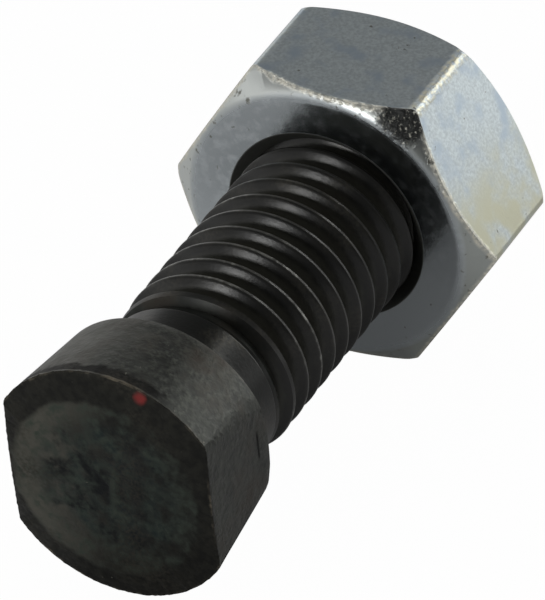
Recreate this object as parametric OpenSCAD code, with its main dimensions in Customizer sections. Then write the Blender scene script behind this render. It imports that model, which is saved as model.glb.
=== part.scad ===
// Plough bolt with a conical head and two flats, and its hexagon nut.
// The bolt is one forging. It lies on its side: its axis is the Y axis, the flat end of
// its head is at Y = 0, and its thread points towards +Y. One side of the nut faces down.

/* [Bolt] */
// Length of the bolt over all, from the end of its head to the tip
bolt_length = 40; // [36:0.5:60]

/* [Head] */
// Diameter of the head at its rim, the widest place
head_d = 15.8; // [15:0.1:20]
// Diameter of the head at its rear edge, where the cone ends
head_rear_d = 14.4; // [13.8:0.1:15]
// Distance from the end of the head to its rear edge
head_h = 6.75; // [5:0.05:9]
// Diameter of the flat middle of the head's end
face_d = 12.2; // [9:0.1:13]
// How far the rim lies behind the flat middle
rim_drop = 0.25; // [0.1:0.05:0.6]
// Radius that rounds the head's rim and its rear edge
head_round = 0.25; // [0.1:0.05:0.4]
// Distance across the two flats
flats_w = 13.3; // [12.4:0.1:13.8]
// Angle by which the flats are turned from upright
flats_turn = 4.8; // [0:0.1:30]
// Length of the narrow land that each flat leaves at the rear edge
land_length = 0.9; // [0.4:0.1:2]
// How far the land stands proud of the flat
land_step = 0.12; // [0.05:0.01:0.25]

/* [Neck] */
// Length of the sloping shoulder between the rear edge and the neck
shoulder_length = 0.9; // [0.5:0.1:2]
// Length of the plain neck beyond the shoulder
neck_length = 2.5; // [1:0.1:6]
// How far the neck lies below the crests of the thread
neck_drop = 0.3; // [0.2:0.05:0.6]

/* [Thread] */
// Outer diameter over the crests of the thread
thread_d = 11.8; // [11:0.1:12]
// Distance from crest to crest
pitch = 1.75; // [1.25:0.05:2]
// Width of the flat on each crest
crest_w = 0.22; // [0.1:0.02:0.3]
// Angle between the two sides of a groove
thread_angle = 60; // [50:1:60]
// Angle at which the first groove starts
thread_turn = 178; // [0:1:359]
// Turns over which the thread grows to its full height
run_out_turns = 1.2; // [0.5:0.1:2]
// How far the flat end of the tip lies below the root of the thread
tip_drop = 0.25; // [0:0.05:1]

/* [Nut] */
// Distance across the flats of the nut
nut_w = 18.9; // [17:0.1:21]
// Height of the nut
nut_h = 9.7; // [6:0.1:12]
// Diameter of the face that bears on the work
bearing_d = 18.3; // [15:0.1:18.8]
// Diameter of the face on the far side
far_face_d = 17.2; // [15:0.1:18.8]
// Slope of the turned chamfers on the corners
chamfer_angle = 36; // [15:1:45]
// Free space all round between the crests and the nut's hole
thread_play = 0.08; // [0.05:0.01:0.2]
// How far the countersink at each mouth of the hole widens it all round
sink_w = 0.57; // [0.2:0.01:1]
// Angle between opposite sides of the countersink
sink_angle = 90; // [90:1:120]
// Length of bolt that stands out past the nut
end_past_nut = 2.5; // [0.5:0.1:6]

/* [Hidden] */

round_sides = 96;
turn_steps = 36;
corner_steps = 5;
corner_count = 6;
over = 1;

neck_r = thread_d / 2 - neck_drop;
rear_z = head_h;
neck_z = rear_z + shoulder_length;
thread_z = neck_z + neck_length;
shoulder_round = min(shoulder_length, head_rear_d / 2 - neck_r) / 2;

// The groove of the thread, from its depth and the flats at its root and its crest
crest_r = thread_d / 2;
groove_depth = 0.6134 * pitch;
root_r = crest_r - groove_depth;
side_w = groove_depth * tan(thread_angle / 2);
root_w = pitch - crest_w - 2 * side_w;
side_starts = [0, root_w, root_w + side_w, root_w + side_w + crest_w];
heights = [0, 0, 1, 1];
line_count = len(heights);
tip_r = root_r - tip_drop;

// The thread grows out of a core that is a little thinner than the neck
core_gap = 0.1;
core_r = neck_r - core_gap;
core_sunk = 0.5;
rise_steps = run_out_turns * turn_steps;
fade_steps = turn_steps / 2;
tip_land = 0.2;
thread_length = bolt_length - tip_land - thread_z;
steps = floor((thread_length / pitch - 1) * turn_steps);

nut_far_y = bolt_length - end_past_nut;
nut_y = nut_far_y - nut_h;
corner_r = nut_w / 2 / cos(180 / corner_count);
hole_r = crest_r + thread_play;

bolt_colour = [0.15, 0.15, 0.14];
nut_colour = [0.66, 0.69, 0.69];

// Stands a shape that was made along +Z along +Y instead
module along_y() {
    rotate([-90, 0, 0]) children();
}

// Points of an arc that rounds the corner b of the path a, b, c
function rounded(a, b, c, radius) =
    let (
        to_a = (a - b) / norm(a - b),
        to_c = (c - b) / norm(c - b),
        half = acos(to_a * to_c) / 2,
        middle = b + (to_a + to_c) / norm(to_a + to_c) * radius / sin(half),
        first = b + to_a * radius / tan(half) - middle,
        last = b + to_c * radius / tan(half) - middle,
        sweep = 180 - 2 * half
    )
    [for (i = [0 : corner_steps])
        let (t = i / corner_steps)
        middle + (first * sin((1 - t) * sweep) + last * sin(t * sweep)) / sin(sweep)];

// Half section of the head, shoulder and neck: radius against height
module head_section() {
    face = [face_d / 2, 0];
    rim = [head_d / 2, rim_drop];
    rear = [head_rear_d / 2, rear_z];
    foot = [neck_r, neck_z];
    neck_end = [neck_r, thread_z];
    polygon(concat(
        [[0, 0], face],
        rounded(face, rim, rear, head_round),
        rounded(rim, rear, foot, head_round),
        rounded(rear, foot, neck_end, shoulder_round),
        [neck_end, [0, thread_z]]
    ));
}

// What is left between the two flats, with the land at the rear edge
module between_flats() {
    flat_z = rear_z - land_length;
    land_w = flats_w + 2 * land_step;
    translate([-flats_w / 2, -head_d, -over]) cube([flats_w, 2 * head_d, flat_z + over]);
    translate([-land_w / 2, -head_d, flat_z]) cube([land_w, 2 * head_d, thread_z + over - flat_z]);
}

module head_and_neck() {
    intersection() {
        rotate_extrude($fn = round_sides) head_section();
        rotate([0, 0, -flats_turn]) between_flats();
    }
}

// A point at step i round the axis
function around(i, radius, z) =
    let (angle = thread_turn + 360 * i / turn_steps)
    [radius * cos(angle), radius * sin(angle), z];

// The point of the thread's surface at step i along the helix, on line j of its section
function thread_point(i, j) =
    let (
        z = thread_z + pitch * i / turn_steps + side_starts[j],
        rise = min(1, i / rise_steps),
        fade = min(1, max(0, (steps - i) / fade_steps)),
        full = root_r + groove_depth * heights[j] * fade,
        grown = core_r + (full - core_r) * rise,
        chamfered = min(grown, tip_r + bolt_length - z)
    )
    around(i, chamfered, z);

// The core with its thread, as one closed skin that is wound round the axis turn on turn
module threaded_shank() {
    root_count = steps + turn_steps + 1;
    side_lines = line_count - 1;
    first_ring = root_count + (steps + 1) * side_lines;
    points = concat(
        [for (i = [0 : root_count - 1]) thread_point(i, 0)],
        [for (i = [0 : steps]) for (j = [1 : side_lines]) thread_point(i, j)],
        [for (i = [0 : turn_steps - 1]) around(i, core_r, thread_z - core_sunk)],
        [for (i = [0 : turn_steps - 1]) around(i, tip_r, bolt_length)]
    );
    function side(i, j) =
        j == 0 ? i : j == line_count ? i + turn_steps : root_count + i * side_lines + j - 1;
    function ring(i) = first_ring + i % turn_steps;
    function tip(i) = first_ring + turn_steps + i % turn_steps;
    winding = [for (i = [0 : steps - 1]) for (j = [0 : line_count - 1])
        for (face = [
            [side(i, j), side(i, j + 1), side(i + 1, j + 1)],
            [side(i, j), side(i + 1, j + 1), side(i + 1, j)]
        ]) face];
    below = [for (i = [0 : turn_steps - 2])
        for (face = [[ring(i), side(i, 0), side(i + 1, 0)], [ring(i), side(i + 1, 0), ring(i + 1)]]) face];
    above = [for (i = [steps + 1 : steps + turn_steps - 1])
        for (face = [[side(i, 0), tip(i), tip(i + 1)], [side(i, 0), tip(i + 1), side(i + 1, 0)]]) face];
    // The thread's first and last edges are each closed by a fan from the column beside them
    last_low = turn_steps - 1;
    first_edge = concat([ring(last_low), ring(0)], [for (j = [0 : line_count]) side(0, j)]);
    first_fan = [for (k = [0 : len(first_edge) - 2]) [side(last_low, 0), first_edge[k + 1], first_edge[k]]];
    first_high = steps + 1;
    last_edge = concat([for (j = [0 : line_count]) side(steps, j)], [tip(steps), tip(first_high)]);
    last_fan = [for (k = [0 : len(last_edge) - 2]) [side(first_high, 0), last_edge[k], last_edge[k + 1]]];
    ends = [
        [for (i = [0 : turn_steps - 1]) ring(i)],
        [for (i = [turn_steps - 1 : -1 : 0]) tip(i)]
    ];
    polyhedron(points, concat(winding, below, above, first_fan, last_fan, ends), convexity = 10);
}

module plough_bolt() {
    color(bolt_colour) along_y() {
        head_and_neck();
        threaded_shank();
    }
}

// Half section of a round blank whose slopes cut the corners of the hexagon
module chamfer_section() {
    bearing_drop = (corner_r - bearing_d / 2) * tan(chamfer_angle);
    far_drop = (corner_r - far_face_d / 2) * tan(chamfer_angle);
    outside = corner_r + over;
    polygon([
        [0, 0],
        [bearing_d / 2, 0],
        [outside, bearing_drop + over * tan(chamfer_angle)],
        [outside, nut_h - far_drop - over * tan(chamfer_angle)],
        [far_face_d / 2, nut_h],
        [0, nut_h]
    ]);
}

// Half section of the hole, with the countersink at each mouth
module hole_section() {
    sink_depth = sink_w / tan(sink_angle / 2);
    mouth_r = hole_r + sink_w + over * tan(sink_angle / 2);
    polygon([
        [0, -over],
        [mouth_r, -over],
        [hole_r, sink_depth],
        [hole_r, nut_h - sink_depth],
        [mouth_r, nut_h + over],
        [0, nut_h + over]
    ]);
}

module hex_nut() {
    color(nut_colour) along_y() translate([0, 0, nut_y]) difference() {
        intersection() {
            cylinder(r = corner_r, h = nut_h, $fn = corner_count);
            rotate_extrude($fn = round_sides) chamfer_section();
        }
        rotate_extrude($fn = round_sides) hole_section();
    }
}

plough_bolt();
hex_nut();
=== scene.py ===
# %% [markdown]
# A plough bolt and its hexagon nut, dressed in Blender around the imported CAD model. The CAD model
# comes in first, as a frame that is never moved, and both finished pieces are made at its size.
# All work is in metres, with the bolt's axis along Y, the flat end of its head at Y = 0 and +Z up.
# One side of the nut faces down, and the floor lies under it.

# %% Load the frame
import math

import bmesh
import bpy
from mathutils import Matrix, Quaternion, Vector


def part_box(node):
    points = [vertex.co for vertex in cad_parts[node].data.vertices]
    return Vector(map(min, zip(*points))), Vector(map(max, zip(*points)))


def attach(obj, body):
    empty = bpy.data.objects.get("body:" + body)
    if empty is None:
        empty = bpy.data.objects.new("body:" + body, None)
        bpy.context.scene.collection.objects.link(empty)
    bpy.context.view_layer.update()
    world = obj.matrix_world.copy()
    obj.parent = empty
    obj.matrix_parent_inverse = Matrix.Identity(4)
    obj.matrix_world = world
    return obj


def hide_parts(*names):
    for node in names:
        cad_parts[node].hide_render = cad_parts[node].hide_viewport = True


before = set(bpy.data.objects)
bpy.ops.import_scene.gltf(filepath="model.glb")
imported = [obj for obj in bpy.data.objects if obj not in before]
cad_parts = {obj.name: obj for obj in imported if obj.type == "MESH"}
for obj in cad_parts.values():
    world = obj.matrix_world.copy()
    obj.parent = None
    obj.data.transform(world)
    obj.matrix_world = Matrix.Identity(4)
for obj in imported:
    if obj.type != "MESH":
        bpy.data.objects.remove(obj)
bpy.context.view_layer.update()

MM = 0.001
_, bolt_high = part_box("plough_bolt")
nut_low, nut_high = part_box("hex_nut")
bolt_length = bolt_high.y / MM
nut_front = nut_low.y / MM
nut_back = nut_high.y / MM
nut_width = 2 * nut_high.z / MM
nut_corner = nut_high.x / MM
print("bolt", round(bolt_length, 2), "mm long, nut", round(nut_width, 2), "mm across its flats")

# %% [markdown]
# The real bolt is turned, rolled and forged, and nearly all of it is round about one axis. So most
# of the work needs the same few moves: draw half of a section, turn it or wind it round the axis,
# and cut one solid with another. Each of them is a short helper that uses Blender's own operators.
# An operator acts on all that is selected, so a helper first deselects everything.

# %% Helpers that open and close a mesh
TOUCHING = 0.001 * MM


def pick_only(piece):
    bpy.ops.object.select_all(action="DESELECT")
    piece.select_set(True)
    bpy.context.view_layer.objects.active = piece


def open_mesh(piece):
    pick_only(piece)
    bpy.ops.object.mode_set(mode="EDIT")
    bpy.ops.mesh.select_mode(type="VERT")
    bpy.ops.mesh.select_all(action="SELECT")


def close_mesh():
    bpy.ops.mesh.select_all(action="SELECT")
    bpy.ops.mesh.remove_doubles(threshold=TOUCHING)
    bpy.ops.mesh.normals_make_consistent(inside=False)
    bpy.ops.object.mode_set(mode="OBJECT")


def apply_modifier(piece, kind, **settings):
    pick_only(piece)
    modifier = piece.modifiers.new(kind.lower(), kind)
    for name, value in settings.items():
        setattr(modifier, name, value)
    bpy.ops.object.modifier_apply(modifier=modifier.name)


# %% [markdown]
# Forged and turned edges are never quite straight. Where two faces meet, the edge is first rounded
# with a small bevel, and then only the middle line of that bevel is shifted a few hundredths of a
# millimetre at random, so that the faces on both sides stay flat.

# %% Helpers that choose edges and make them uneven


def choose(piece, mode, chosen):
    """Opens the mesh and selects what is chosen by the places of its corners, in millimetres."""
    open_mesh(piece)
    bpy.ops.mesh.select_all(action="DESELECT")
    bpy.ops.mesh.select_mode(type=mode)
    mesh = bmesh.from_edit_mesh(piece.data)
    found = mesh.verts if mode == "VERT" else mesh.edges
    for part in found:
        corners = [part] if mode == "VERT" else part.verts
        part.select = chosen(*[corner.co / MM for corner in corners])
    bmesh.update_edit_mesh(piece.data)
    return sum(part.select for part in found)


def roughen(piece, chosen, shift, seed):
    count = choose(piece, "VERT", chosen)
    bpy.ops.transform.vertex_random(offset=shift * MM, seed=seed)
    bpy.ops.object.mode_set(mode="OBJECT")
    return count


# %% [markdown]
# A section is drawn as by hand: a plane is merged into a single point, and that point is extruded
# from corner to corner. The corners are (distance from the axis, distance along it), in
# millimetres. Spin then turns the section into a solid. Cuts leave slivers in a mesh, so they are
# merged before a piece is shaded smooth over its curves and flat on its large flat faces.

# %% Helpers that draw a section, turn it, shade it and cut it
ROUND_STEPS = 240
SMOOTH_BELOW = math.radians(30)


def draw_section(name, corners):
    bpy.ops.object.select_all(action="DESELECT")
    bpy.ops.mesh.primitive_plane_add(size=MM, location=(0, 0, 0))
    piece = bpy.context.object
    piece.name = piece.data.name = name
    open_mesh(piece)
    bpy.ops.mesh.merge(type="CENTER")
    bpy.ops.transform.translate(value=(corners[0][0] * MM, corners[0][1] * MM, 0))
    for here, there in zip(corners, corners[1:]):
        step = ((there[0] - here[0]) * MM, (there[1] - here[1]) * MM, 0)
        bpy.ops.mesh.extrude_region_move(TRANSFORM_OT_translate={"value": step})
    bpy.ops.object.mode_set(mode="OBJECT")
    return piece


def turned(name, corners):
    piece = draw_section(name, corners)
    open_mesh(piece)
    bpy.ops.mesh.spin(steps=ROUND_STEPS, angle=2 * math.pi, center=(0, 0, 0), axis=(0, 1, 0))
    close_mesh()
    return piece


def shade(piece):
    open_mesh(piece)
    close_mesh()
    pick_only(piece)
    bpy.ops.object.shade_smooth_by_angle(angle=SMOOTH_BELOW)
    apply_modifier(piece, "WEIGHTED_NORMAL", keep_sharp=True)


def cut(piece, operation, tool):
    apply_modifier(piece, "BOOLEAN", operation=operation, solver="MANIFOLD", object=tool)
    bpy.data.objects.remove(tool)


# %% [markdown]
# The head is a turned cone. Its end is a flat disc, and the band outside that disc falls away a
# little towards the rim. Behind the cone a sloping shoulder leads down to the plain neck. The sizes
# repeat those of the CAD source, in millimetres, so that the finished piece keeps its form. A
# cylinder could be tapered and extruded step by step, but one drawn section gives all slopes at
# once. A loop near each end of the cone and of the neck keeps the shading of their edges from
# spreading over them. The last one is closest, because the thread begins right behind it.

# %% Turn the head and the neck
HEAD_R, HEAD_REAR_R, HEAD_LENGTH = 7.9, 7.2, 6.75
FACE_R, RIM_DROP = 6.1, 0.25
SHOULDER_END, NECK_END, NECK_R = 7.65, 10.15, 5.6
HOLD, NECK_HOLD = 0.5, 0.08
TAPER = (HEAD_R - HEAD_REAR_R) / (HEAD_LENGTH - RIM_DROP)

bolt = turned("plough_bolt_forging", [
    (0, 0), (FACE_R, 0), (HEAD_R, RIM_DROP), (HEAD_R - HOLD * TAPER, RIM_DROP + HOLD),
    (HEAD_REAR_R + HOLD * TAPER, HEAD_LENGTH - HOLD), (HEAD_REAR_R, HEAD_LENGTH),
    (NECK_R, SHOULDER_END), (NECK_R, SHOULDER_END + HOLD), (NECK_R, NECK_END - NECK_HOLD),
    (NECK_R, NECK_END), (0, NECK_END),
])
print("head and neck", len(bolt.data.polygons), "faces")

# %% [markdown]
# Two flats on the head keep the bolt from turning in the plough share. A turned solid can't have
# them in its section, so a block on each side cuts them. The edges are rounded next, and then a
# second, thinner cut leaves a narrow land at the rear edge of each flat, as the forging die does.
# The far end of that cut is a short steep ramp.

# %% Cut the two flats
FLATS_TURN = math.radians(4.8)
FLAT_AT, LAND_AT, LAND_START = 6.65, 6.77, 5.85
LAND_RAMP = 4
BLOCK, MARGIN = 20, 1
RIM_ROUND = 0.22
EDGE_ANGLE = math.radians(24)


def cut_flats(distance, far_end, ramp=0):
    for side in (1, -1):
        bpy.ops.object.select_all(action="DESELECT")
        middle = (side * (distance + BLOCK / 2) * MM, (far_end - BLOCK / 2) * MM, 0)
        bpy.ops.mesh.primitive_cube_add(size=BLOCK * MM, location=middle)
        block = bpy.context.object
        bpy.ops.object.transform_apply(location=True)
        choose(
            block, "VERT", lambda p: abs(p.x) > distance + MARGIN and p.y > far_end - MARGIN
        )
        bpy.ops.transform.translate(value=(0, BLOCK * ramp * MM, 0))
        bpy.ops.object.mode_set(mode="OBJECT")
        block.rotation_euler.y = -FLATS_TURN
        bpy.ops.object.transform_apply(rotation=True)
        cut(bolt, "DIFFERENCE", block)


cut_flats(LAND_AT, NECK_END)
apply_modifier(
    bolt, "BEVEL", width=RIM_ROUND * MM, segments=3, limit_method="ANGLE", angle_limit=EDGE_ANGLE
)
cut_flats(FLAT_AT, LAND_START, ramp=LAND_RAMP)
print("head with its flats", len(bolt.data.polygons), "faces")

# %% [markdown]
# A forging die leaves no sharp edge between a flat and the cone. Three more cuts on each of these
# edges, every one turned a little further, touch a circle of 1.6 mm and so round it. The cone gets
# thinner towards the rear, so a cut comes closer to the axis there. A wide bevel could round them
# too, but it would also eat into the rim and the land.

# %% Round the edges between the flats and the cone
SOFT_R = 1.6
SOFT_TURNS = [math.radians(angle) for angle in (-21, -14, -7, 7, 14, 21)]
HALF_CORNER = math.radians(14)


def touching(turn, cone_r):
    """Distance from the axis to the line that touches the round of the corner."""
    corner = FLAT_AT * math.cos(turn) + math.sqrt(cone_r ** 2 - FLAT_AT ** 2) * math.sin(turn)
    return corner - SOFT_R * (math.cos(turn - HALF_CORNER) / math.cos(HALF_CORNER) - 1)


for turn in SOFT_TURNS:
    front, rear = touching(abs(turn), HEAD_R), touching(abs(turn), HEAD_REAR_R)
    for side in (0, math.pi):
        bpy.ops.object.select_all(action="DESELECT")
        bpy.ops.mesh.primitive_cube_add(size=BLOCK * MM, location=(BLOCK / 2 * MM, 0, 0))
        block = bpy.context.object
        bpy.ops.object.transform_apply(location=True)
        block.rotation_euler.z = math.atan((front - rear) / (HEAD_LENGTH - RIM_DROP))
        block.location = (front * MM, RIM_DROP * MM, 0)
        bpy.ops.object.transform_apply(location=True, rotation=True)
        block.rotation_euler.y = -FLATS_TURN - turn - side
        bpy.ops.object.transform_apply(rotation=True)
        cut(bolt, "DIFFERENCE", block)
print("head with soft edges", len(bolt.data.polygons), "faces")

# %% [markdown]
# The rim and the front edge of each flat carry a thin burr that the die pushed out. The steps of
# the turning have already divided these edges finely, so a narrow bevel and a small random shift of
# its middle line are enough.

# %% Make the rim and the flats' front edges uneven
BURR_W, BURR_SHIFT = 0.07, 0.04
MIDDLE_SHARE = 0.8
SAME_PLACE, OFF_EDGE, OFF_RIM = 0.01, 0.002, 0.4
RIM_AT = Vector((HEAD_R, RIM_DROP))


def across_flats(point):
    return abs(point.x * math.cos(FLATS_TURN) + point.z * math.sin(FLATS_TURN))


def on_front_edge(start, end):
    return all(
        abs(across_flats(p) - FLAT_AT) < SAME_PLACE and p.y < RIM_DROP for p in (start, end)
    )


def in_burr(point):
    below_flat = FLAT_AT - MIDDLE_SHARE * BURR_W < across_flats(point) < FLAT_AT - OFF_EDGE
    behind_end = OFF_EDGE < point.y < RIM_DROP
    return below_flat and behind_end and math.hypot(point.x, point.z) < HEAD_R - OFF_RIM


def on_rim(point):
    here = Vector((math.hypot(point.x, point.z), point.y))
    return (here - RIM_AT).length < MIDDLE_SHARE * RIM_ROUND


print("front edges", choose(bolt, "EDGE", on_front_edge))
bpy.ops.mesh.bevel(offset=BURR_W * MM, segments=2)
bpy.ops.object.mode_set(mode="OBJECT")
print("uneven points on the flats", roughen(bolt, in_burr, BURR_SHIFT, 4))
print("uneven points on the rim", roughen(bolt, on_rim, BURR_SHIFT, 7))

# %% [markdown]
# The thread is rolled: a groove of 60 degrees that climbs 1.75 mm a turn. Half of one pitch of its
# section goes from the root to the crest, and the other half is its mirror image. A rolled crest
# is flat with slightly rounded corners, and the root is a small hollow. The side between them
# bulges by 0.03 mm, as the oxide and the wear leave it, which gathers the light of a lamp in one
# soft spot on each turn. The section starts in a root, half a pitch before a crest. It lies inside
# the neck, whole turns on from CREST_AT, where a crest would come if the thread went on so far.

# %% Section of the thread
CREST_R, PITCH = 5.9, 1.75
DEPTH_SHARE = 0.6134
HALF_ANGLE = math.radians(30)
GROOVE_DEPTH = DEPTH_SHARE * PITCH
ROOT_R = CREST_R - GROOVE_DEPTH
FLANK = GROOVE_DEPTH * math.tan(HALF_ANGLE)
CREST_HALF, CREST_SOFT = 0.11, 0.05
ROOT_HALF = PITCH / 2 - CREST_HALF - FLANK
ROOT_SOFT = Vector((0.12, 0.07))
ROOT_HOLLOW = 0.02
LEVEL_SHARE = 0.6
FLANK_BULGE, FLANK_STEPS = 0.03, 8
CREST_AT, TURNS_ALONG = 1.556, 4
THREAD_START = CREST_AT + (TURNS_ALONG - 0.5) * PITCH


def thread_section(grow):
    """One pitch of the section. grow widens it all round."""
    soft_r = CREST_R - CREST_SOFT
    soft_half = CREST_HALF + CREST_SOFT * math.tan(HALF_ANGLE)
    low = Vector((ROOT_R + ROOT_SOFT.x, ROOT_HALF + ROOT_SOFT.y))
    high = Vector((soft_r, PITCH / 2 - soft_half))
    outward = Vector((math.sin(HALF_ANGLE), -math.cos(HALF_ANGLE)))
    half = [(ROOT_R, 0), (ROOT_R + ROOT_HOLLOW, ROOT_HALF * LEVEL_SHARE)]
    for step in range(FLANK_STEPS + 1):
        part = step / FLANK_STEPS
        bulge = outward * FLANK_BULGE * math.sin(math.pi * part)
        half.append(tuple(low.lerp(high, part) + bulge))
    half.append((CREST_R, PITCH / 2 - CREST_HALF * LEVEL_SHARE))
    whole = half + [(radius, PITCH - along) for radius, along in reversed(half)]
    return [(radius + grow, along + THREAD_START) for radius, along in whole]


print("thread section", len(thread_section(0)), "points, root at", round(ROOT_R, 2), "mm")

# %% [markdown]
# The Screw modifier winds the section, so that each turn ends where the next begins. That makes the
# spiral one closed skin, which a stack of rings could never be. Each end of the winding is an open
# edge, and it is drawn together on the axis, so that cuts find a solid.

# %% Wind the thread
THREAD_TURNS = 20
THREAD_STEPS = 120
CAP = 0.5


def threaded_rod(name, grow):
    """The winding, with each end drawn together on the axis so that it is a closed solid."""
    rod = draw_section(name, thread_section(grow))
    apply_modifier(
        rod, "SCREW", axis="Y", angle=2 * math.pi, screw_offset=PITCH * MM,
        iterations=THREAD_TURNS, steps=THREAD_STEPS, render_steps=THREAD_STEPS,
    )
    last = THREAD_START + (THREAD_TURNS + 1) * PITCH
    for tip in (THREAD_START - CAP, last + CAP):
        open_mesh(rod)
        bpy.ops.mesh.remove_doubles(threshold=TOUCHING)
        bpy.ops.mesh.select_all(action="DESELECT")
        bpy.ops.mesh.select_non_manifold(
            use_wire=False, use_multi_face=False, use_non_contiguous=False
        )
        mesh = bmesh.from_edit_mesh(rod.data)
        for vertex in mesh.verts:
            if abs(vertex.co.y / MM - tip) > (THREAD_TURNS / 2) * PITCH:
                vertex.select = False
        mesh.select_flush_mode()
        bmesh.update_edit_mesh(rod.data)
        bpy.ops.mesh.extrude_region_move(TRANSFORM_OT_translate={"value": (0, 0, 0)})
        bpy.context.scene.cursor.location = (0, tip * MM, 0)
        bpy.ops.mesh.merge(type="CURSOR")
        close_mesh()
    return rod


thread = threaded_rod("thread", 0)
print("thread", len(thread.data.polygons), "faces")

# %% [markdown]
# The rolled blank decides where the thread fades. Near the neck the groove gets shallower and the
# crests rise slowly to their full height, and at the tip a chamfer of 45 degrees cuts them down. So
# the winding is first filled by a cone near the neck and then cut to the outline of the blank.

# %% Fade the thread at both ends and join it to the neck
RUN_OUT_TURNS = 1.2
RUN_OUT_END = NECK_END + RUN_OUT_TURNS * PITCH
TIP_R = ROOT_R - 0.25
CORE_R = NECK_R - 0.1
CONE_END_R = ROOT_R - 0.05
BLANK_R = CREST_R + 0.001
SUNK = 0.6

cone = turned("run_out_cone", [
    (0, NECK_END - SUNK), (CORE_R, NECK_END - SUNK), (CORE_R, NECK_END),
    (CONE_END_R, RUN_OUT_END), (0, RUN_OUT_END),
])
cut(thread, "UNION", cone)
blank = turned("blank", [
    (0, NECK_END - SUNK), (CORE_R, NECK_END - SUNK), (CORE_R, NECK_END),
    (BLANK_R, RUN_OUT_END), (BLANK_R, bolt_length - (CREST_R - TIP_R)),
    (TIP_R, bolt_length), (0, bolt_length),
])
cut(thread, "INTERSECT", blank)
cut(bolt, "UNION", thread)
shade(bolt)
print("bolt", len(bolt.data.polygons), "faces")

# %% [markdown]
# The nut is made the way the real one is: a hexagon bar whose corners are slightly rounded, a form
# that was turned to a chamfer on both sides, and a hole with a countersink at each mouth. The
# turned form is a solid of its own, whose edges are rounded before it trims the bar, so that the
# bar's corners end in a soft curve.

# %% Make the nut
CORNERS, CORNER_TURN = 6, math.radians(30)
CORNER_ROUND, TURNED_ROUND = 0.32, 0.42
BEARING_R, FAR_FACE_R = 9.15, 8.6
CHAMFER_ANGLE = math.radians(36)
CHAMFER = math.tan(CHAMFER_ANGLE)

bpy.ops.object.select_all(action="DESELECT")
bpy.ops.mesh.primitive_cylinder_add(
    vertices=CORNERS, radius=nut_corner * MM, depth=(nut_back - nut_front) * MM,
    location=(0, (nut_front + nut_back) / 2 * MM, 0), rotation=(math.pi / 2, 0, 0),
)
nut = bpy.context.object
nut.name = nut.data.name = "zinc_plated_nut"
bpy.ops.object.transform_apply(location=True, rotation=True)
nut.rotation_euler.y = CORNER_TURN
bpy.ops.object.transform_apply(rotation=True)

print("long corners", choose(nut, "EDGE", lambda start, end: abs(start.y - end.y) > MARGIN))
bpy.ops.mesh.bevel(offset=CORNER_ROUND * MM, segments=4)
close_mesh()

chamfered = turned("chamfered_blank", [
    (0, nut_front), (BEARING_R, nut_front),
    (nut_corner, nut_front + (nut_corner - BEARING_R) * CHAMFER),
    (nut_corner, nut_back - (nut_corner - FAR_FACE_R) * CHAMFER),
    (FAR_FACE_R, nut_back), (0, nut_back),
])
apply_modifier(
    chamfered, "BEVEL", width=TURNED_ROUND * MM, segments=4,
    limit_method="ANGLE", angle_limit=EDGE_ANGLE,
)
cut(nut, "INTERSECT", chamfered)
print("nut blank", len(nut.data.polygons), "faces")

# %% [markdown]
# The turning tool leaves a burr where its chamfer runs out into the flats. Each of these arcs
# becomes a narrow bevel, flat in its section so that it lies a little below both faces, and its
# middle line is shifted. The burr so never stands out of the nut's own size.

# %% Make the nut's arcs uneven
ARC_ROUND, ARC_SHIFT = 0.18, 0.012
FLAT_SIDES = [
    Vector((math.sin(turn), 0, math.cos(turn))) for turn in (0, math.pi / 3, -math.pi / 3)
]


def depth_in_flats(point):
    return nut_width / 2 - max(abs(side.dot(point)) for side in FLAT_SIDES)


def depth_in_chamfer(point):
    reach = math.hypot(point.x, point.z)
    front = point.y - nut_front - (reach - BEARING_R) * CHAMFER
    back = nut_back - point.y - (reach - FAR_FACE_R) * CHAMFER
    return min(front, back)


def in_arc(point):
    depths = depth_in_flats(point), depth_in_chamfer(point)
    between = all(ARC_SHIFT < depth < ARC_ROUND for depth in depths)
    return between and math.hypot(point.x, point.z) < nut_corner - CORNER_ROUND


apply_modifier(
    nut, "BEVEL", width=ARC_ROUND * MM, segments=2, profile=0.25,
    limit_method="ANGLE", angle_limit=EDGE_ANGLE,
)
print("uneven points on the arcs", roughen(nut, in_arc, ARC_SHIFT, 11))

# %% [markdown]
# The hole and the tap come last, as on the real nut. A plain hole would look empty beside the
# bolt's thread when the nut has moved. The tap is the bolt's own winding, grown by the play between
# the two, so that their threads mesh.

# %% Drill and tap the nut
HOLE_R, MOUTH_R = 5.05, CREST_R + 0.65
PLAY = 0.08
OVER = 2

hole = turned("hole", [
    (0, nut_front - OVER), (MOUTH_R + OVER, nut_front - OVER),
    (HOLE_R, nut_front + MOUTH_R - HOLE_R), (HOLE_R, nut_back - MOUTH_R + HOLE_R),
    (MOUTH_R + OVER, nut_back + OVER), (0, nut_back + OVER),
])
cut(nut, "DIFFERENCE", hole)
cut(nut, "DIFFERENCE", threaded_rod("tap", PLAY))
shade(nut)
spans = [[vertex.co[axis] / MM for vertex in nut.data.vertices] for axis in range(3)]
print("nut", len(nut.data.polygons), "faces", [round(max(s) - min(s), 2) for s in spans], "mm")

# %% [markdown]
# Materials are built from nodes on Object coordinates, so that a pattern is fixed to the metal. The
# point on the piece is first turned into millimetres. A pattern then takes its size from the real
# thing, and a worn edge is simply a zone within some hundredths of a millimetre of that edge.

# %% Helpers that start a material


def linear(hex_colour):
    channels = [int(hex_colour[i:i + 2], 16) / 255 for i in (1, 3, 5)]
    return [c / 12.92 if c <= 0.04045 else ((c + 0.055) / 1.055) ** 2.4 for c in channels] + [1]


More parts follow.
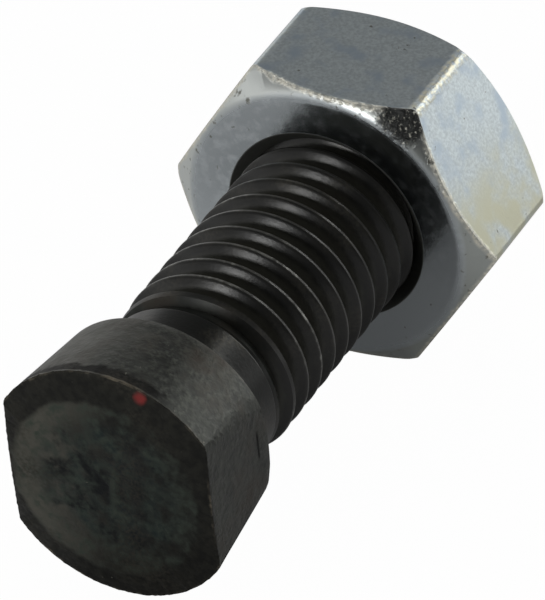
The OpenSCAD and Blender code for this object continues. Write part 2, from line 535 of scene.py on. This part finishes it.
def add(tree, kind, inputs=None, **settings):
    """Adds a node with its settings, and gives each input its value or its link."""
    node = tree.nodes.new(kind)
    for name, value in settings.items():
        setattr(node, name, value)
    for name, value in (inputs or {}).items():
        if isinstance(value, bpy.types.NodeSocket):
            tree.links.new(value, node.inputs[name])
        else:
            node.inputs[name].default_value = value
    return node


def new_material(name):
    material = bpy.data.materials.new(name)
    material.use_nodes = True
    return material, material.node_tree, material.node_tree.nodes["Principled BSDF"]


def point_in_mm(tree):
    """The point on the piece, its distance from the axis and its distance along the axis."""
    place = add(tree, "ShaderNodeTexCoord").outputs["Object"]
    scaled = add(tree, "ShaderNodeVectorMath", {0: place, "Scale": 1 / MM}, operation="SCALE")
    point = scaled.outputs[0]
    flat = add(tree, "ShaderNodeVectorMath", {0: point, 1: (1, 0, 1)}, operation="MULTIPLY")
    reach = add(tree, "ShaderNodeVectorMath", {0: flat.outputs[0]}, operation="LENGTH")
    along = add(tree, "ShaderNodeSeparateXYZ", {0: point}).outputs["Y"]
    return point, reach.outputs["Value"], along


# %% [markdown]
# Wear, oil and burrs are laid over the plain metal as masks. A blotch mask is a noise of a given
# size with its middle range stretched. A zone mask is 1 near something and 0 further away, and its
# edge can wander with a noise, because no real stain or worn line has an even edge. A patch is a
# zone round one point.

# %% Helpers that make masks


def blotches(tree, point, size, start, full, detail=4, seed=0):
    noise = add(tree, "ShaderNodeTexNoise", {
        "Vector": point, "W": seed, "Scale": 1 / size, "Detail": detail,
    }, noise_dimensions="4D")
    return add(tree, "ShaderNodeMapRange", {
        "Value": noise.outputs["Fac"], "From Min": start, "From Max": full,
    }, interpolation_type="SMOOTHSTEP").outputs["Result"]


def zone(tree, distance, full, none, point=None, size=0.5, wander=0):
    """1 where the distance is below full, 0 above none. The edge wanders to both sides."""
    if wander:
        noise = add(tree, "ShaderNodeTexNoise", {"Vector": point, "Scale": 1 / size, "Detail": 3})
        start = add(tree, "ShaderNodeMath", {0: distance, 1: wander}, operation="SUBTRACT")
        distance = add(tree, "ShaderNodeMath", {
            0: noise.outputs["Fac"], 1: 2 * wander, 2: start.outputs[0],
        }, operation="MULTIPLY_ADD").outputs[0]
    return add(tree, "ShaderNodeMapRange", {
        "Value": distance, "From Min": none, "From Max": full,
    }, interpolation_type="SMOOTHSTEP").outputs["Result"]


def patch(tree, point, middle, full, none, size=0.5, wander=0):
    away = add(tree, "ShaderNodeVectorMath", {0: point, 1: middle}, operation="DISTANCE")
    return zone(tree, away.outputs["Value"], full, none, point, size, wander)


def both(tree, *masks):
    result = masks[0]
    for mask in masks[1:]:
        result = add(tree, "ShaderNodeMath", {0: result, 1: mask}, operation="MULTIPLY").outputs[0]
    return result


def from_ring(tree, reach, along, ring_reach, ring_along):
    """Distance from a ring round the axis, such as an edge that was turned."""
    here = add(tree, "ShaderNodeCombineXYZ", {0: reach, 1: along}).outputs[0]
    return add(tree, "ShaderNodeVectorMath", {
        0: here, 1: (ring_reach, ring_along, 0),
    }, operation="DISTANCE").outputs["Value"]


# %% [markdown]
# Colours, roughness and bumps are all stacked in the same way: a plain start, and then layer on
# layer through its mask, as dirt and wear come onto the real metal.

# %% Helpers that lay finishes over each other


def lay_over(tree, first, layers, data_type="RGBA"):
    """Starts from a colour or a value and lays each of the others over it through its mask."""
    result = first
    for mask, there in layers:
        mix = add(tree, "ShaderNodeMix", {
            "Factor": mask, "A": result, "B": there,
        }, data_type=data_type)
        result = mix.outputs["Result"]
    return result


def relief(tree, layers):
    """Lays one bump on the other. Each is a height from 0 to 1 and its depth in millimetres."""
    normal = {}
    for height, depth in layers:
        bump = add(tree, "ShaderNodeBump", {"Height": height, "Distance": depth * MM, **normal})
        normal = {"Normal": bump.outputs["Normal"]}
    return normal["Normal"]


# %% [markdown]
# The bolt is quenched and tempered steel, left black and lightly oiled. The scale from the heat is
# a near-black oxide, so it shines like satin and takes its light from what it mirrors. The end of
# the head was pressed in a die, which left a mottled disc, a little off the middle, inside a darker
# and smoother band. First the zones are made: they say where on the bolt each of these lies.

# %% Zones of the bolt
bolt_material, tree, shader = new_material("oiled_black_oxide_on_forged_steel")
point, reach, along = point_in_mm(tree)
sideways = add(tree, "ShaderNodeSeparateXYZ", {0: point}).outputs["X"]

THREAD_FROM = NECK_END + PITCH
DISC_MIDDLE = (-0.3, 0, -0.3)
on_head = zone(tree, along, SHOULDER_END, SHOULDER_END + 1)
end_zone = zone(tree, along, RIM_DROP, RIM_DROP + 0.05)
disc = both(tree, end_zone, patch(tree, point, DISC_MIDDLE, 5.8, 6.3, size=1.6, wander=0.5))
inner_disc = both(tree, end_zone, zone(tree, reach, 3.6, 5.4, point, size=2.5, wander=0.9))
# Painted light: the head's left side is made lighter, as the light that falls there.
painted_light_left = zone(tree, sideways, -5, 1, point, size=2, wander=0.8)
right_side = zone(tree, sideways, 2.6, 4.0, point, size=0.8, wander=0.4)
neck_zone = both(
    tree, zone(tree, reach, NECK_R + 0.1, NECK_R + 0.3),
    zone(tree, along, NECK_END, NECK_END + 1),
)
thread_zone = zone(tree, along, THREAD_FROM, THREAD_FROM - 1)
groove = both(
    tree, thread_zone,
    zone(tree, reach, ROOT_R + 0.25, ROOT_R + 0.75, point, size=0.6, wander=0.15),
)
tip = zone(tree, along, bolt_length - 0.1, bolt_length - 0.5, point, size=0.8, wander=0.1)
print("zones of the bolt", len(tree.nodes), "nodes")

# %% [markdown]
# Beside the rim the edges of the flats need a measure of their own. The distance across the flats,
# together with the distance along the axis, tells how far a point is from the front edge of a flat
# and from the step down to its land.

# %% Zones of the flats
turned_x = (math.cos(FLATS_TURN), 0, math.sin(FLATS_TURN))
dot = add(tree, "ShaderNodeVectorMath", {0: point, 1: turned_x}, operation="DOT_PRODUCT")
to_side = add(tree, "ShaderNodeMath", {0: dot.outputs["Value"]}, operation="ABSOLUTE").outputs[0]
on_flat = zone(tree, to_side, FLAT_AT - 0.1, FLAT_AT - 0.2)
# Painted shade: a nearly black band on the cone just behind the rounded rim, on its right side.
painted_shade_behind_rim = both(
    tree, zone(tree, along, 0.9, 1.4, point, size=1.3, wander=1.0),
    zone(tree, along, 0.45, 0.35), zone(tree, to_side, FLAT_AT - 0.25, FLAT_AT - 0.05),
    right_side,
)
STEP_SPOT = (6.6, LAND_START, 1.1)
step_line = from_ring(tree, to_side, along, FLAT_AT, LAND_START + 0.1)
# Painted shade: a near-black line in the corner of the step down to the land, strongest near one
# spot.
painted_shade_at_step = both(
    tree, zone(tree, step_line, 0.02, 0.12),
    patch(tree, point, STEP_SPOT, 0.6, 1.2, size=1, wander=0.3),
)
print("zones of the flats", len(tree.nodes), "nodes")

# %% [markdown]
# Where the bolt rubs on other bolts in the box, the oxide is gone and bare steel glints: on the
# crests of the thread, which look like fine beaded lines, on the rim of the head and on the front
# edge of each flat. A lighter line also runs along the head's rear edge. Each line is a zone round
# its own edge, broken up by spots of two sizes.

# %% Worn edges of the bolt
NEAR_NUT = (6, 28, 4)
RIM_SPOT = (0.9, RIM_DROP, 7.75)
spots = blotches(tree, point, 0.5, 0.43, 0.64)
long_spots = blotches(tree, point, 2.1, 0.4, 0.65)
beads = both(tree, spots, long_spots)
by_nut = patch(tree, point, NEAR_NUT, 8, 13)
crest = both(
    tree, thread_zone,
    zone(tree, reach, CREST_R - 0.01, CREST_R - 0.05, point, size=0.3, wander=0.012),
)
crest_wear = both(tree, crest, lay_over(tree, 0.1, [(beads, 0.9), (by_nut, 0.04)], "FLOAT"))

rim_line = from_ring(tree, reach, along, HEAD_R - 0.05, RIM_DROP + 0.05)
rim = zone(tree, rim_line, 0.02, 0.14, point, size=0.6, wander=0.1)
flat_line = from_ring(tree, to_side, along, FLAT_AT, 0.03)
flat_edge = zone(tree, flat_line, 0.03, 0.16, point, size=0.5, wander=0.12)
edge = add(tree, "ShaderNodeMath", {0: rim, 1: flat_edge}, operation="MAXIMUM").outputs[0]
rim_patch = patch(tree, point, RIM_SPOT, 0.7, 1.5, size=0.6, wander=0.3)
edge_wear = both(tree, edge, lay_over(tree, 0.06, [(beads, 1.0), (rim_patch, 0.9)], "FLOAT"))

rear_line = from_ring(tree, reach, along, HEAD_REAR_R, HEAD_LENGTH)
rear = zone(tree, rear_line, 0.06, 0.2, point, size=0.8, wander=0.05)
rear_edge_line = both(tree, rear, lay_over(tree, 0.2, [(long_spots, 0.7)], "FLOAT"))
print("worn edges of the bolt", len(tree.nodes), "nodes")

# %% [markdown]
# Now the colours. The oxide wanders between green-grey and brown. The groove of the thread holds a
# dull film of oil and dust, so it mirrors little, and its soft grey is painted lighter than the
# oxide, as painted light that lifts the shade deep in the thread. The band behind the rim on the
# right is painted shade, nearly black, and so is a short line in the corner of the step to a land.
# The neck is painted darker, as shade between the head and the thread, and the left side of the
# head is painted lighter, as light that falls there. A few pale specks of dust and a spot of red
# marking paint sit on the head.

# %% Colours of the bolt
PAINT_SPOT = (2.12, 0.18, 7.10)
mottle = blotches(tree, point, 1.3, 0.35, 0.65)
brown = blotches(tree, point, 3.5, 0.45, 0.7)
fine = blotches(tree, point, 0.22, 0.3, 0.7)
grit = blotches(tree, point, 0.55, 0.35, 0.65)
stains = blotches(tree, point, 1.7, 0.5, 0.64, seed=6)
specks = both(tree, on_head, blotches(tree, point, 0.33, 0.735, 0.77, detail=2))
paint = patch(tree, point, PAINT_SPOT, 0.15, 0.55, size=0.4, wander=0.12)
thin_paint = lay_over(tree, 1.0, [(grit, 0.75)], "FLOAT")

colour = lay_over(tree, linear("#222421"), [
    (mottle, linear("#393b37")),
    (both(tree, on_head, fine, grit), linear("#464842")),
    (both(tree, brown, mottle), linear("#37302a")),
    # Painted light on the head's left side.
    (both(tree, on_head, painted_light_left), linear("#45453f")),
    # Painted shade behind the rim.
    (painted_shade_behind_rim, linear("#0c0c0a")),
    # Painted shade: the neck is made darker, as shade between the head and the thread.
    (neck_zone, linear("#191a18")),
    (thread_zone, linear("#191917")),
    # The groove's lighter grey is painted light that lifts the shade deep in the thread; it mirrors
    # little, as its dull film of oil and dust does.
    (groove, linear("#3e3e37")),
    (tip, linear("#1e1f1c")),
    (both(tree, tip, grit), linear("#30312c")),
    (end_zone, linear("#141411")),
    (both(tree, end_zone, grit), linear("#23231e")),
    (both(tree, disc, mottle), linear("#2e312c")),
    # Painted light on the left part of the disc.
    (both(tree, disc, painted_light_left), linear("#55544c")),
    (both(tree, inner_disc, mottle), linear("#1f2a29")),
    (both(tree, inner_disc, brown), linear("#141b1f")),
    (both(tree, inner_disc, stains), linear("#0b0f11")),
    (both(tree, disc, grit, mottle), linear("#3a423a")),
    (both(tree, fine, brown), linear("#35332c")),
    (crest_wear, linear("#8b8b86")),
    (edge_wear, linear("#7b7466")),
    # Painted shade in the corner of the step.
    (painted_shade_at_step, linear("#080807")),
    (rear_edge_line, linear("#4a4842")),
    (specks, linear("#6d6b62")),
    (both(tree, paint, thin_paint), linear("#7c0600")),
])
tree.links.new(colour, shader.inputs["Base Color"])
print("colours of the bolt", len(tree.nodes), "nodes")

# %% [markdown]
# A metallic share, roughness and bumps finish the surface. An oxide is no metal, but it mirrors
# more than paint does, so its share lies in between, and bare steel has the whole. Oil makes the
# band and the neck smoother than the pressed disc, and worn edges are smooth too. The bumps are
# real depths: 0.03 mm for the marks of the die, 0.01 mm for the grain of the scale, and under a
# thousandth for the turning lines of the neck.

# %% Metal, roughness and bump of the bolt
metal = lay_over(tree, 0.7, [
    (thread_zone, 0.25), (groove, 0.1), (tip, 0.7),
    (crest_wear, 1.0), (edge_wear, 1.0), (paint, 0.0),
], "FLOAT")
tree.links.new(metal, shader.inputs["Metallic"])
rough = lay_over(tree, 0.4, [
    (mottle, 0.48), (thread_zone, 0.29), (groove, 0.37), (neck_zone, 0.28),
    (painted_shade_behind_rim, 0.6), (end_zone, 0.42), (painted_shade_at_step, 0.8), (tip, 0.5),
    (disc, 0.52), (crest_wear, 0.28), (edge_wear, 0.35), (paint, 0.5),
], "FLOAT")
tree.links.new(rough, shader.inputs["Roughness"])

SQUEEZED = (0.1, 6, 0.1)
turning = add(tree, "ShaderNodeVectorMath", {0: point, 1: SQUEEZED}, operation="MULTIPLY")
lines = both(tree, neck_zone, blotches(tree, turning.outputs[0], 0.8, 0.3, 0.7))
die_marks = both(tree, disc, blotches(tree, point, 0.9, 0.25, 0.75))
dents = both(tree, on_head, blotches(tree, point, 2.2, 0.2, 0.8))
tree.links.new(relief(tree, [
    (die_marks, 0.03), (both(tree, on_head, grit), 0.010), (lines, 0.0008), (fine, 0.003),
    (both(tree, on_flat, spots), 0.02), (dents, 0.025),
]), shader.inputs["Normal"])
bolt.data.materials.clear()
bolt.data.materials.append(bolt_material)
print("bolt material", len(tree.nodes), "nodes")

# %% [markdown]
# The nut is plain steel with a bright electroplated zinc and a clear passivation. It mirrors its
# surroundings a little blurred, and the passivation gives it faint yellow and blue clouds. Two
# measures find its edges: how deep a point lies below the six flats, and how deep below the
# chamfer. Where both are nearly nothing, the point is on the arc between the two.

# %% Zones of the nut
nut_material, tree, shader = new_material("passivated_zinc_plate_on_steel")
point, reach, along = point_in_mm(tree)

farthest = 0.0
for side in FLAT_SIDES:
    dot = add(tree, "ShaderNodeVectorMath", {0: point, 1: side}, operation="DOT_PRODUCT")
    span = add(tree, "ShaderNodeMath", {0: dot.outputs["Value"]}, operation="ABSOLUTE")
    larger = add(tree, "ShaderNodeMath", {0: farthest, 1: span.outputs[0]}, operation="MAXIMUM")
    farthest = larger.outputs[0]
below_flats = add(tree, "ShaderNodeMath", {
    0: nut_width / 2, 1: farthest,
}, operation="SUBTRACT").outputs[0]

slope = add(tree, "ShaderNodeMath", {
    0: reach, 1: -CHAMFER, 2: BEARING_R * CHAMFER - nut_front,
}, operation="MULTIPLY_ADD").outputs[0]
below_chamfer = add(tree, "ShaderNodeMath", {0: along, 1: slope}, operation="ADD").outputs[0]
deeper = add(tree, "ShaderNodeMath", {
    0: below_flats, 1: below_chamfer,
}, operation="MAXIMUM").outputs[0]

face_depth = TURNED_ROUND * math.sin(CHAMFER_ANGLE)
bearing_face = zone(tree, along, nut_front, nut_front + face_depth)
chamfer_zone = both(
    tree, zone(tree, below_chamfer, 0.12, 0.2), zone(tree, reach, BEARING_R, BEARING_R - 0.4)
)
# Painted shade: the countersinks and the tapped hole are made dark, as the shade inside the hole.
inside = zone(tree, reach, MOUTH_R + 0.02, MOUTH_R + 0.1)
print("zones of the nut", len(tree.nodes), "nodes")

# %% [markdown]
# The burrs on the arcs and on the long corners catch the light, because they are rough and were
# rubbed bright; near the upper corner the corner burr is strongest, as a painted highlight. One
# corner of the chamfer was torn and looks dark and pitted. The face is painted darker round the
# hole, as painted shade, and so is the hole itself. A small brown stain lies on the upper flat.

# %% Burrs, pits and oil on the nut
TORN_CORNER = (5.2, 28.3, 9.3)
UPPER_CORNER = (5.4, 33, 9.3)
STAIN = (1.9, 34.8, 9.45)
spots = blotches(tree, point, 0.28, 0.38, 0.64)
glints = blotches(tree, point, 0.22, 0.55, 0.7, seed=4)
arc_burr = both(
    tree, zone(tree, deeper, 0.06, 0.3, point, size=1.1, wander=0.22),
    lay_over(tree, 0.35, [(spots, 1.0)], "FLOAT"),
)
# Partly painted highlight: the corner burr is made strongest near the upper corner, where the
# rounded corner mirrors the bright horizon.
highlight_near_corner = patch(tree, point, UPPER_CORNER, 6, 9)
corner_burr_and_highlight = both(
    tree,
    zone(tree, reach, nut_corner - 0.14, nut_corner - 0.3, point, size=0.5, wander=0.09),
    lay_over(tree, 0.2, [(highlight_near_corner, 1.0)], "FLOAT"),
)
torn = both(
    tree, patch(tree, point, TORN_CORNER, 1.2, 2.2, size=0.8, wander=0.5), chamfer_zone
)
pits = both(tree, chamfer_zone, blotches(tree, point, 0.5, 0.6, 0.7))
face_middle = both(
    tree, bearing_face,
    zone(tree, reach, BEARING_R - 0.5, BEARING_R + 0.1, point, size=0.9, wander=0.35),
)
rubbed = both(tree, bearing_face, blotches(tree, point, 0.6, 0.45, 0.7, seed=3))
# Painted shade: the face is made darker round the hole, a painted reflection of the shade under the
# shank.
painted_shade_round_hole = both(
    tree, bearing_face,
    zone(tree, reach, MOUTH_R + 0.1, BEARING_R - 0.2, point, size=1.5, wander=0.4),
)
stain = both(tree, patch(tree, point, STAIN, 0.2, 1.1, size=0.7, wander=0.5), glints)
print("burrs, pits and oil", len(tree.nodes), "nodes")

# %% [markdown]
# Plated zinc is nearly white in itself, and what one sees is mostly its surroundings. So its
# colours keep to a narrow range: a fine speckle, faint yellow clouds high on the right and blue
# ones lower down, and a darker chamfer whose left side is painted brighter, as painted light. The
# lower part of the face is painted lighter, and the face round the hole and the hole itself
# darker, as painted light and shade. Dirt and the torn corner come on top.

# %% Colours of the nut
height = add(tree, "ShaderNodeSeparateXYZ", {0: point}).outputs["Z"]
sideways = add(tree, "ShaderNodeSeparateXYZ", {0: point}).outputs["X"]
low = zone(tree, height, -4, 3)
left = zone(tree, sideways, -4, 0)
mostly_right = lay_over(tree, 0.3, [(zone(tree, sideways, 5, 1), 1.0)], "FLOAT")
yellow = both(
    tree, blotches(tree, point, 1.9, 0.3, 0.6, seed=2), zone(tree, height, 2, 6), mostly_right
)
blue = both(tree, blotches(tree, point, 1.6, 0.48, 0.7, seed=5), zone(tree, height, 5, 1.5))
fine = blotches(tree, point, 0.18, 0.3, 0.7)
specks = blotches(tree, point, 0.5, 0.68, 0.75, detail=3)
colour = lay_over(tree, linear("#b0b9bc"), [
    (fine, linear("#c8d1d3")),
    (yellow, linear("#bdbda8")),
    (blue, linear("#abb8c3")),
    (chamfer_zone, linear("#a5a9a6")),
    # Painted light: the left side of the chamfer is made brighter, as the light that falls there.
    (both(tree, chamfer_zone, left), linear("#cfd3d0")),
    (bearing_face, linear("#b2b8bb")),
    (face_middle, linear("#a9afb2")),
    # Painted shade round the hole.
    (painted_shade_round_hole, linear("#a2a8ab")),
    (rubbed, linear("#b9bfc2")),
    # Painted light on the lower part of the face, lifting the shade that it mirrors.
    (both(tree, bearing_face, low), linear("#b6bcbf")),
    (pits, linear("#85867f")),
    (both(tree, corner_burr_and_highlight, spots), linear("#cfccb6")),
    (arc_burr, linear("#e9e6d8")),
    (torn, linear("#434443")),
    (both(tree, torn, glints), linear("#c9c8bc")),
    (specks, linear("#7f807a")),
    (stain, linear("#4d483e")),
    # Painted shade inside the hole.
    (inside, linear("#4c4d49")),
])
tree.links.new(colour, shader.inputs["Base Color"])
print("colours of the nut", len(tree.nodes), "nodes")

# %% [markdown]
# Bright plate blurs its reflections only a little, and less on the flat face than on the chamfer.
# The burrs and the torn corner are rough. Their bumps are the deepest, up to 0.08 mm, while the
# plate itself waves by under a hundredth and has a grain of under two thousandths.

# %% Metal, roughness and bump of the nut
metal = lay_over(tree, 1.0, [(arc_burr, 0.7), (corner_burr_and_highlight, 0.75), (inside, 0.5)], "FLOAT")
tree.links.new(metal, shader.inputs["Metallic"])
rough = lay_over(tree, 0.28, [
    (fine, 0.34), (bearing_face, 0.2), (rubbed, 0.27), (chamfer_zone, 0.32),
    (arc_burr, 0.55), (torn, 0.5), (inside, 0.5),
], "FLOAT")
tree.links.new(rough, shader.inputs["Roughness"])
waves = blotches(tree, point, 2.5, 0.2, 0.8)
tree.links.new(relief(tree, [
    (both(tree, arc_burr, spots), 0.03), (both(tree, corner_burr_and_highlight, spots), 0.01),
    (both(tree, torn, spots), 0.08), (pits, 0.015), (fine, 0.0016), (waves, 0.008),
]), shader.inputs["Normal"])
nut.data.materials.clear()
nut.data.materials.append(nut_material)
print("nut material", len(tree.nodes), "nodes")

# %% [markdown]
# Each piece rides on the body of the CAD node that it stands for, so that the nut travels along the
# bolt when the joint moves. A pose then needs no change to the script. The CAD nodes stay in the
# physics model and are only hidden here.

# %% Ride on the bodies
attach(bolt, "bolt")
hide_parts("plough_bolt")
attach(nut, "nut")
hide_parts("hex_nut")
print("pieces", bolt.name, "and", nut.name)

# %% [markdown]
# Lamps bright enough to turn real paper plain white would wash out the dark metal on it. So a
# share of plain white is mixed in only where the camera or a mirror ray sees the paper, or the
# world behind it. One function gives that share, and the floor and the world both use it.

# %% Helper for the share of plain white in what is seen


def seen(tree, camera_share, mirror_share):
    """The share for rays from the camera and for rays that a mirror or glass sends on, else 0."""
    rays = add(tree, "ShaderNodeLightPath")
    mirror = add(tree, "ShaderNodeMath", {
        0: rays.outputs["Is Glossy Ray"], 1: rays.outputs["Is Transmission Ray"],
    }, operation="MAXIMUM")
    direct = add(tree, "ShaderNodeMath", {
        0: rays.outputs["Is Camera Ray"], 1: camera_share,
    }, operation="MULTIPLY")
    return add(tree, "ShaderNodeMath", {
        0: mirror.outputs[0], 1: mirror_share, 2: direct.outputs[0],
    }, operation="MULTIPLY_ADD").outputs[0]


# %% [markdown]
# The bolt lies on white paper. The paper is a real diffuse floor under the nut's lower side, so it
# keeps the shadow, and most of what the camera sees of it is the plain white. It is much larger
# than the bolt, so that its edge never shows.

# %% Floor
FLOOR_AT = -nut_width / 2 * MM
FLOOR_SIZE = 3
WHITE = (1, 1, 1, 1)
PAPER = (0.42, 0.42, 0.42, 1)

bpy.ops.object.select_all(action="DESELECT")
bpy.ops.mesh.primitive_plane_add(size=FLOOR_SIZE, location=(0, 0, FLOOR_AT))
floor = bpy.context.object
floor.name = floor.data.name = "floor"
bpy.ops.object.transform_apply(location=True)
paper_material = bpy.data.materials.new("white_paper")
paper_material.use_nodes = True
tree = paper_material.node_tree
tree.nodes.clear()
paper = add(tree, "ShaderNodeBsdfDiffuse", {"Color": PAPER})
white = add(tree, "ShaderNodeEmission", {"Color": WHITE, "Strength": 1})
mix = add(tree, "ShaderNodeMixShader", {
    0: seen(tree, camera_share=0.985, mirror_share=0.1), 1: paper.outputs[0], 2: white.outputs[0],
})
add(tree, "ShaderNodeOutputMaterial", {"Surface": mix.outputs[0]})
floor.data.materials.append(paper_material)
print("floor", round(FLOOR_AT / MM, 2), "mm from the axis")

# %% [markdown]
# The world is the rest of the studio. It is white round the horizon, grey above and nearly black
# overhead, and it is dark on the side where the viewer stands. Metal shows nearly nothing but such
# surroundings, so their steps from white to grey are what shapes the nut's facets. All other rays
# get a plain level. A height in the world is the sine of the angle above the horizon.

# %% World
CEILING = (0.3, 0.3, 0.3, 1)
ZENITH = (0.08, 0.08, 0.08, 1)
DARK_SIDE = (0.12, 0.12, 0.12, 1)
PLAIN = (0.25, 0.25, 0.25, 1)
VIEWER_SIDE = Vector((0.62, -0.74, 0.26)).normalized()

world = bpy.data.worlds.new("studio")
bpy.context.scene.world = world
world.use_nodes = True
tree = world.node_tree
tree.nodes.clear()
direction = add(tree, "ShaderNodeTexCoord").outputs["Generated"]
height = add(tree, "ShaderNodeSeparateXYZ", {0: direction}).outputs["Z"]
facing = add(tree, "ShaderNodeVectorMath", {
    0: direction, 1: VIEWER_SIDE,
}, operation="DOT_PRODUCT").outputs["Value"]
ceiling = zone(tree, height, full=0.38, none=0.12)
overhead = zone(tree, height, full=0.76, none=0.65)
dark = zone(tree, facing, full=0.7, none=0.5)
studio = lay_over(tree, WHITE, [(ceiling, CEILING), (overhead, ZENITH), (dark, DARK_SIDE)])
plain = lay_over(tree, PLAIN, [(seen(tree, camera_share=1, mirror_share=1), studio)])
background = add(tree, "ShaderNodeBackground", {"Color": plain, "Strength": 1})
add(tree, "ShaderNodeOutputWorld", {"Surface": background.outputs[0]})
print("world", len(tree.nodes), "nodes")

# %% [markdown]
# Three soft lamps finish the studio. A large one behind and above lights the paper, so that the
# soft shadow falls towards the viewer. It is kept out of the mirror rays, because the metal should
# show the two small ones instead: one behind on the right, for the cone of the head and the nut's
# chamfers, and one in front on the left, for the row of soft lights on the turns of the thread.
# Each is given the brightness of its face, so that its size can change without a new power.

# %% Lamps
AIM = Vector((0, 0.5 * bolt_length * MM, 0))


def softbox(name, place, width, height, radiance, mirrored=True, roll=0):
    light = bpy.data.lights.new(name, "AREA")
    light.shape = "RECTANGLE"
    light.size, light.size_y = width, height
    light.energy = radiance * math.pi * width * height
    lamp = bpy.data.objects.new(name, light)
    bpy.context.scene.collection.objects.link(lamp)
    lamp.location = place
    lamp.rotation_mode = "QUATERNION"
    upright = (AIM - Vector(place)).to_track_quat("-Z", "Y")
    lamp.rotation_quaternion = upright @ Quaternion((0, 0, 1), roll)
    lamp.visible_glossy = mirrored
    lamp.visible_camera = False
    print(name, round(light.energy, 2), "W")


softbox(
    "key_softbox", (-0.20, 0.40, 0.50), width=0.5, height=0.5, radiance=5.5, mirrored=False
)
softbox(
    "right_back_strip", (0.207, 0.388, 0.166), width=0.055, height=0.37, radiance=6.5,
    roll=math.radians(-12),
)
softbox("front_left_softbox", (-0.0775, -0.398, 0.1465), width=0.08, height=0.11, radiance=18)

# %% [markdown]
# The camera stands where the photographer's did. Its place, aim and lens are a fit to the
# photograph's outline: a long lens about 0.4 m away, looking down at nearly 40 degrees.

# %% Camera
CAMERA_PLACE = Vector((0.1460, -0.2570, 0.2420))
CAMERA_AIM = Vector((0, 0.02067, -0.00079))
CAMERA_ROLL = math.radians(-1.152)
LENS = 397.1

bpy.ops.object.camera_add(location=CAMERA_PLACE)
camera = bpy.context.object
camera.data.lens = LENS
camera.data.clip_start, camera.data.clip_end = 0.01, 10
camera.rotation_mode = "QUATERNION"
upright = (CAMERA_AIM - CAMERA_PLACE).to_track_quat("-Z", "Y")
camera.rotation_quaternion = upright @ Quaternion((0, 0, 1), CAMERA_ROLL)
bpy.context.scene.camera = camera
bpy.context.scene.view_settings.view_transform = "Standard"
print("camera", round((CAMERA_AIM - CAMERA_PLACE).length, 3), "m away")
